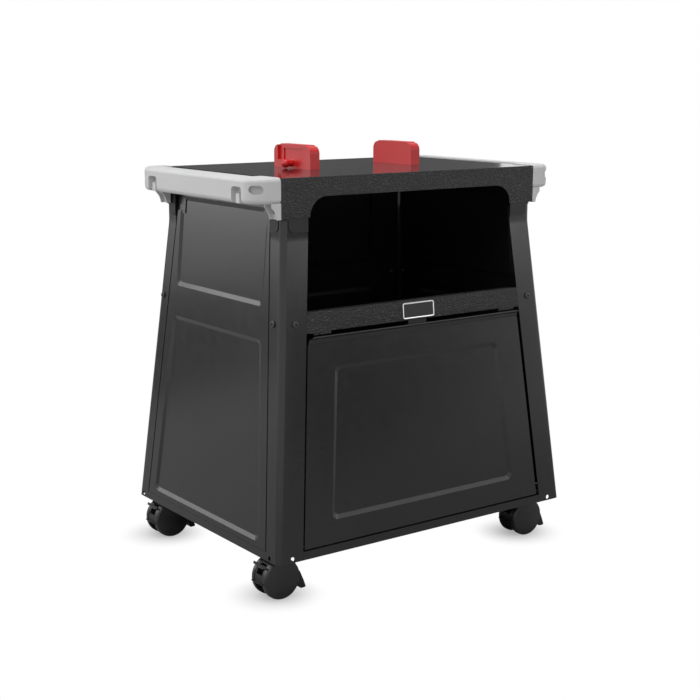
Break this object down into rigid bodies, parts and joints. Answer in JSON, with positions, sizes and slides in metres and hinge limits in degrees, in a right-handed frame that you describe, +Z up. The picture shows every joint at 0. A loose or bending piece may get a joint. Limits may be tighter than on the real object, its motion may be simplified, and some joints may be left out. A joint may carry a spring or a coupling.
{
  "type": "grill stand",
  "caption": "Cabinet stand of folded sheet steel for a tabletop grill, with a drop-down front door, side rails with tool hooks, grill locators and braked swivel casters.",
  "frame": {"origin": "on the floor, midway between the four legs", "axes": "+Z up, +X to the right of someone facing the door, +Y from the door to the back"},
  "size_m": [0.713, 0.529, 0.801],
  "materials": {
    "panel_paint": "dark grey powder coat, satin",
    "grained_paint": "dark grey coat with a fine leather grain",
    "worktop_paint": "smooth dark grey coat, semi-gloss",
    "bracket_paint": "matt black coat",
    "rail_plastic": "light grey moulded plastic, satin",
    "badge_metal": "black face with a bright edge",
    "red_plastic": "red moulded plastic, satin gloss",
    "black_plastic": "black moulded plastic",
    "screw_steel": "black coated steel",
    "zinc_steel": "zinc plated steel",
    "caster_plastic": "black moulded nylon",
    "wheel_plastic": "black nylon with a smooth face"
  },
  "bodies": {
    "frame": {"front_left_leg": "panel_paint", "front_right_leg": "panel_paint", "rear_left_leg": "panel_paint", "rear_right_leg": "panel_paint", "left_side_panel": "panel_paint", "right_side_panel": "panel_paint", "back_panel": "panel_paint", "base_pan": "panel_paint", "top_braces": "panel_paint", "front_fascia": "grained_paint", "rear_fascia": "grained_paint", "ledge_strip": "grained_paint", "top_panel": "worktop_paint", "front_left_bracket": "bracket_paint", "front_right_bracket": "bracket_paint", "rear_left_bracket": "bracket_paint", "rear_right_bracket": "bracket_paint", "left_side_rail": "rail_plastic", "right_side_rail": "rail_plastic", "badge_plate": "badge_metal", "left_locator": "red_plastic", "right_locator": "red_plastic", "door_catch": "black_plastic", "ledge_screws": "screw_steel", "rail_screws": "screw_steel", "locator_screws": "screw_steel", "caster_screws": "screw_steel", "front_left_caster_mount": "zinc_steel", "front_right_caster_mount": "zinc_steel", "rear_left_caster_mount": "zinc_steel", "rear_right_caster_mount": "zinc_steel"},
    "door": {"door_panel": "panel_paint", "door_stiffener": "panel_paint", "door_hinge_pins": "screw_steel"},
    "left_knob": {"left_lock_knob": "red_plastic"},
    "right_knob": {"right_lock_knob": "red_plastic"},
    "front_left_swivel": {"front_left_caster_housing": "caster_plastic", "front_left_caster_axle": "zinc_steel"},
    "front_left_front_wheel": {"front_left_caster_front_wheel": "wheel_plastic"},
    "front_left_rear_wheel": {"front_left_caster_rear_wheel": "wheel_plastic"},
    "front_left_pedal": {"front_left_caster_pedal": "caster_plastic"},
    "front_right_swivel": {"front_right_caster_housing": "caster_plastic", "front_right_caster_axle": "zinc_steel"},
    "front_right_front_wheel": {"front_right_caster_front_wheel": "wheel_plastic"},
    "front_right_rear_wheel": {"front_right_caster_rear_wheel": "wheel_plastic"},
    "front_right_pedal": {"front_right_caster_pedal": "caster_plastic"},
    "rear_left_swivel": {"rear_left_caster_housing": "caster_plastic", "rear_left_caster_axle": "zinc_steel"},
    "rear_left_front_wheel": {"rear_left_caster_front_wheel": "wheel_plastic"},
    "rear_left_rear_wheel": {"rear_left_caster_rear_wheel": "wheel_plastic"},
    "rear_left_pedal": {"rear_left_caster_pedal": "caster_plastic"},
    "rear_right_swivel": {"rear_right_caster_housing": "caster_plastic", "rear_right_caster_axle": "zinc_steel"},
    "rear_right_front_wheel": {"rear_right_caster_front_wheel": "wheel_plastic"},
    "rear_right_rear_wheel": {"rear_right_caster_rear_wheel": "wheel_plastic"},
    "rear_right_pedal": {"rear_right_caster_pedal": "caster_plastic"}
  },
  "joints": [
    {"name": "door_hinge", "type": "hinge", "parent": "frame", "child": "door", "pos_m": [0, -0.2561, 0.0984], "axis": [1, 0, 0], "range_deg": [0, 90]},
    {"name": "left_knob_slide", "type": "slide", "parent": "frame", "child": "left_knob", "axis": [-1, 0, 0], "range_m": [0, 0.008], "stiffness_N_per_m": 300},
    {"name": "right_knob_slide", "type": "slide", "parent": "frame", "child": "right_knob", "axis": [1, 0, 0], "range_m": [0, 0.008], "stiffness_N_per_m": 300},
    {"name": "front_left_swivel_turn", "type": "hinge", "parent": "frame", "child": "front_left_swivel", "pos_m": [-0.301, -0.215, 0.06], "axis": [0, 0, 1], "continuous": true},
    {"name": "front_left_front_wheel_spin", "type": "hinge", "parent": "front_left_swivel", "child": "front_left_front_wheel", "pos_m": [-0.319, -0.215, 0.038], "axis": [0, 1, 0], "continuous": true},
    {"name": "front_left_rear_wheel_spin", "type": "hinge", "parent": "front_left_swivel", "child": "front_left_rear_wheel", "pos_m": [-0.319, -0.215, 0.038], "axis": [0, 1, 0], "continuous": true},
    {"name": "front_left_pedal_hinge", "type": "hinge", "parent": "front_left_swivel", "child": "front_left_pedal", "pos_m": [-0.34106, -0.215, 0.05524], "axis": [0, -1, 0], "range_deg": [0, 8]},
    {"name": "front_right_swivel_turn", "type": "hinge", "parent": "frame", "child": "front_right_swivel", "pos_m": [0.301, -0.215, 0.06], "axis": [0, 0, 1], "continuous": true},
    {"name": "front_right_front_wheel_spin", "type": "hinge", "parent": "front_right_swivel", "child": "front_right_front_wheel", "pos_m": [0.283, -0.215, 0.038], "axis": [0, 1, 0], "continuous": true},
    {"name": "front_right_rear_wheel_spin", "type": "hinge", "parent": "front_right_swivel", "child": "front_right_rear_wheel", "pos_m": [0.283, -0.215, 0.038], "axis": [0, 1, 0], "continuous": true},
    {"name": "front_right_pedal_hinge", "type": "hinge", "parent": "front_right_swivel", "child": "front_right_pedal", "pos_m": [0.26094, -0.215, 0.05524], "axis": [0, -1, 0], "range_deg": [0, 8]},
    {"name": "rear_left_swivel_turn", "type": "hinge", "parent": "frame", "child": "rear_left_swivel", "pos_m": [-0.296, 0.2035, 0.06], "axis": [0, 0, 1], "continuous": true},
    {"name": "rear_left_front_wheel_spin", "type": "hinge", "parent": "rear_left_swivel", "child": "rear_left_front_wheel", "pos_m": [-0.314, 0.2035, 0.038], "axis": [0, 1, 0], "continuous": true},
    {"name": "rear_left_rear_wheel_spin", "type": "hinge", "parent": "rear_left_swivel", "child": "rear_left_rear_wheel", "pos_m": [-0.314, 0.2035, 0.038], "axis": [0, 1, 0], "continuous": true},
    {"name": "rear_left_pedal_hinge", "type": "hinge", "parent": "rear_left_swivel", "child": "rear_left_pedal", "pos_m": [-0.33606, 0.2035, 0.05524], "axis": [0, -1, 0], "range_deg": [0, 8]},
    {"name": "rear_right_swivel_turn", "type": "hinge", "parent": "frame", "child": "rear_right_swivel", "pos_m": [0.296, 0.2035, 0.06], "axis": [0, 0, 1], "continuous": true},
    {"name": "rear_right_front_wheel_spin", "type": "hinge", "parent": "rear_right_swivel", "child": "rear_right_front_wheel", "pos_m": [0.278, 0.2035, 0.038], "axis": [0, 1, 0], "continuous": true},
    {"name": "rear_right_rear_wheel_spin", "type": "hinge", "parent": "rear_right_swivel", "child": "rear_right_rear_wheel", "pos_m": [0.278, 0.2035, 0.038], "axis": [0, 1, 0], "continuous": true},
    {"name": "rear_right_pedal_hinge", "type": "hinge", "parent": "rear_right_swivel", "child": "rear_right_pedal", "pos_m": [0.25594, 0.2035, 0.05524], "axis": [0, -1, 0], "range_deg": [0, 8]}
  ]
}
